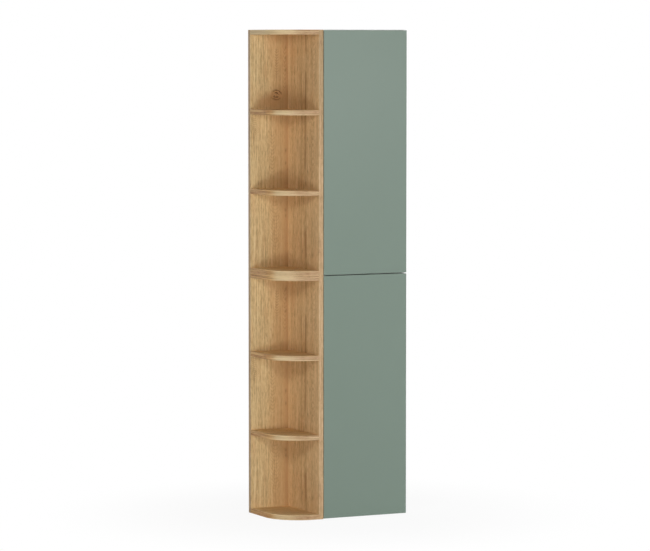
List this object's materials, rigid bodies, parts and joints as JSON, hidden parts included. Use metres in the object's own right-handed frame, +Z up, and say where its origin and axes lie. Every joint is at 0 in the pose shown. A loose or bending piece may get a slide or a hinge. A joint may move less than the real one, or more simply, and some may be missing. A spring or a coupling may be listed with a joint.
{
  "type": "wall shelving column",
  "caption": "Tall column with open oak-decor shelves round one corner and a cupboard with two flat push-to-open doors.",
  "frame": {"origin": "middle of the footprint, on the floor", "axes": "+X to the right seen from the front, +Y towards the wall, +Z up"},
  "size_m": [0.46, 0.25, 1.6],
  "materials": {
    "oak_decor": "oak decor on chipboard",
    "sage_front": "matt lacquer film",
    "white_board": "white melamine on chipboard",
    "hardboard": "white-faced hardboard",
    "hinge_steel": "nickel plated",
    "screw_steel": "zinc plated",
    "cam_zinc": "cast zinc",
    "strike_steel": "nickel plated",
    "spring_steel": "bright wire",
    "wall_steel": "galvanised",
    "latch_plastic": "moulded",
    "plunger_plastic": "moulded",
    "bumper": "clear soft pad",
    "beech": "fluted beech"
  },
  "bodies": {
    "carcass": {"board_screws": "screw_steel", "cam_locks": "cam_zinc", "cam_bolts": "screw_steel", "dowels": "beech", "shelf_supports": "strike_steel", "plate_screws": "screw_steel", "arm_screws": "screw_steel", "latch_screws": "screw_steel", "latch_springs": "spring_steel", "connector_sleeves": "screw_steel", "connector_screws": "screw_steel", "hanger_bodies": "cam_zinc", "hanger_hooks": "wall_steel", "hanger_screws": "screw_steel", "wall_plates": "wall_steel", "lower_divider_panel": "oak_decor", "lower_side_panel": "white_board", "lower_cupboard_bottom": "white_board", "lower_cupboard_top": "white_board", "lower_thin_back": "hardboard", "lower_open_back_board": "oak_decor", "lower_open_bottom_board": "oak_decor", "lower_open_shelf_low": "oak_decor", "lower_open_shelf_high": "oak_decor", "lower_open_top_board": "oak_decor", "lower_inner_shelf_low": "white_board", "lower_inner_shelf_high": "white_board", "lower_hinge_arms": "hinge_steel", "lower_hinge_plates": "hinge_steel", "lower_latch_housing": "latch_plastic", "upper_divider_panel": "oak_decor", "upper_side_panel": "white_board", "upper_cupboard_bottom": "white_board", "upper_cupboard_top": "white_board", "upper_thin_back": "hardboard", "upper_open_back_board": "oak_decor", "upper_open_bottom_board": "oak_decor", "upper_open_shelf_low": "oak_decor", "upper_open_shelf_high": "oak_decor", "upper_open_top_board": "oak_decor", "upper_inner_shelf_low": "white_board", "upper_inner_shelf_high": "white_board", "upper_hinge_arms": "hinge_steel", "upper_hinge_plates": "hinge_steel", "upper_latch_housing": "latch_plastic"},
    "lower_door_leaf": {"lower_door": "sage_front", "lower_hinge_cups": "hinge_steel", "lower_hinge_pins": "screw_steel", "lower_cup_screws": "screw_steel", "lower_latch_strike": "strike_steel", "lower_door_bumpers": "bumper"},
    "lower_plunger": {"lower_latch_plunger": "plunger_plastic"},
    "upper_door_leaf": {"upper_door": "sage_front", "upper_hinge_cups": "hinge_steel", "upper_hinge_pins": "screw_steel", "upper_cup_screws": "screw_steel", "upper_latch_strike": "strike_steel", "upper_door_bumpers": "bumper"},
    "upper_plunger": {"upper_latch_plunger": "plunger_plastic"}
  },
  "joints": [
    {"name": "lower_door_hinge", "type": "hinge", "parent": "carcass", "child": "lower_door_leaf", "pos_m": [0.2217, -0.1172, 0.4], "axis": [0, 0, 1], "range_deg": [0, 105]},
    {"name": "lower_latch_stroke", "type": "slide", "parent": "carcass", "child": "lower_plunger", "axis": [0, -1, 0], "range_m": [0, 0.0141]},
    {"name": "upper_door_hinge", "type": "hinge", "parent": "carcass", "child": "upper_door_leaf", "pos_m": [0.2217, -0.1172, 1.2], "axis": [0, 0, 1], "range_deg": [0, 105]},
    {"name": "upper_latch_stroke", "type": "slide", "parent": "carcass", "child": "upper_plunger", "axis": [0, -1, 0], "range_m": [0, 0.0141]}
  ],
  "couplings": [
    {"joint": "lower_latch_stroke", "follows": "lower_door_hinge", "m_per_rad": 0.007639},
    {"joint": "upper_latch_stroke", "follows": "upper_door_hinge", "m_per_rad": 0.007639}
  ]
}
